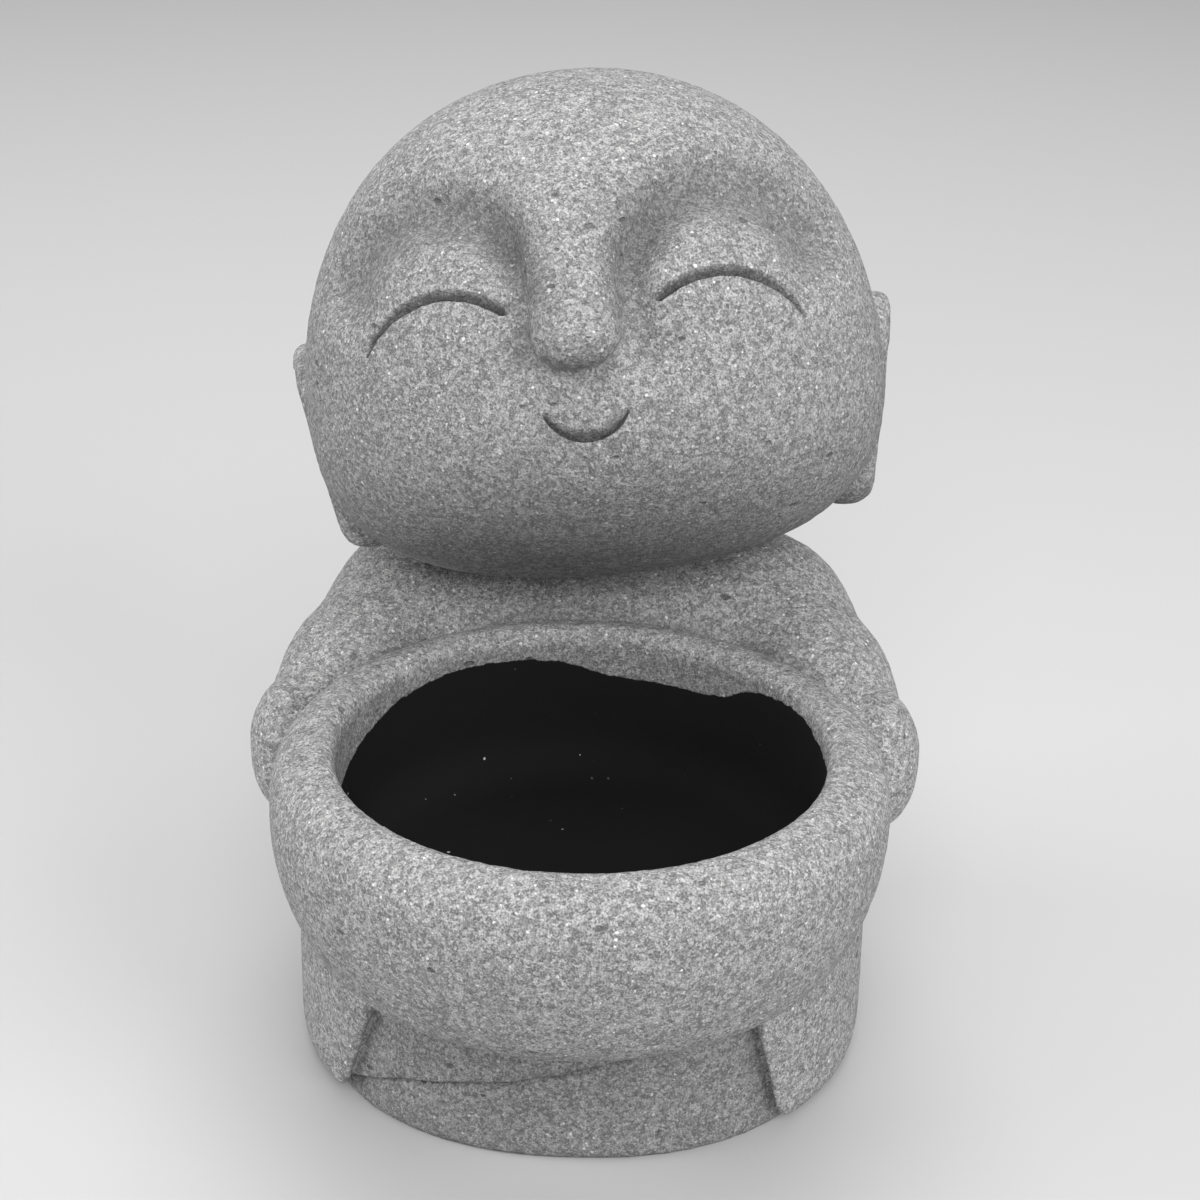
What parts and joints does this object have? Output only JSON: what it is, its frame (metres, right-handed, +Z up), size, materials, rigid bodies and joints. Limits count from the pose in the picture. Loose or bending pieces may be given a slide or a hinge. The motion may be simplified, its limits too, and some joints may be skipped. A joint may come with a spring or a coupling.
{
  "type": "stone jizo statue",
  "caption": "Small cast-stone jizo with a large round smiling head and long ear lobes, holding a wide hollow bowl in both hands.",
  "frame": {"origin": "on the floor, in the middle of the flat underside, below the middle of the body", "axes": "+Z up, -Y towards the front, where the face and the bowl are, +X to the viewer's right"},
  "size_m": [0.1076, 0.1357, 0.1569],
  "materials": {
    "stone": "matte, sandy cast stone"
  },
  "bodies": {
    "root": {"jizo_statue": "stone"}
  },
  "joints": []
}
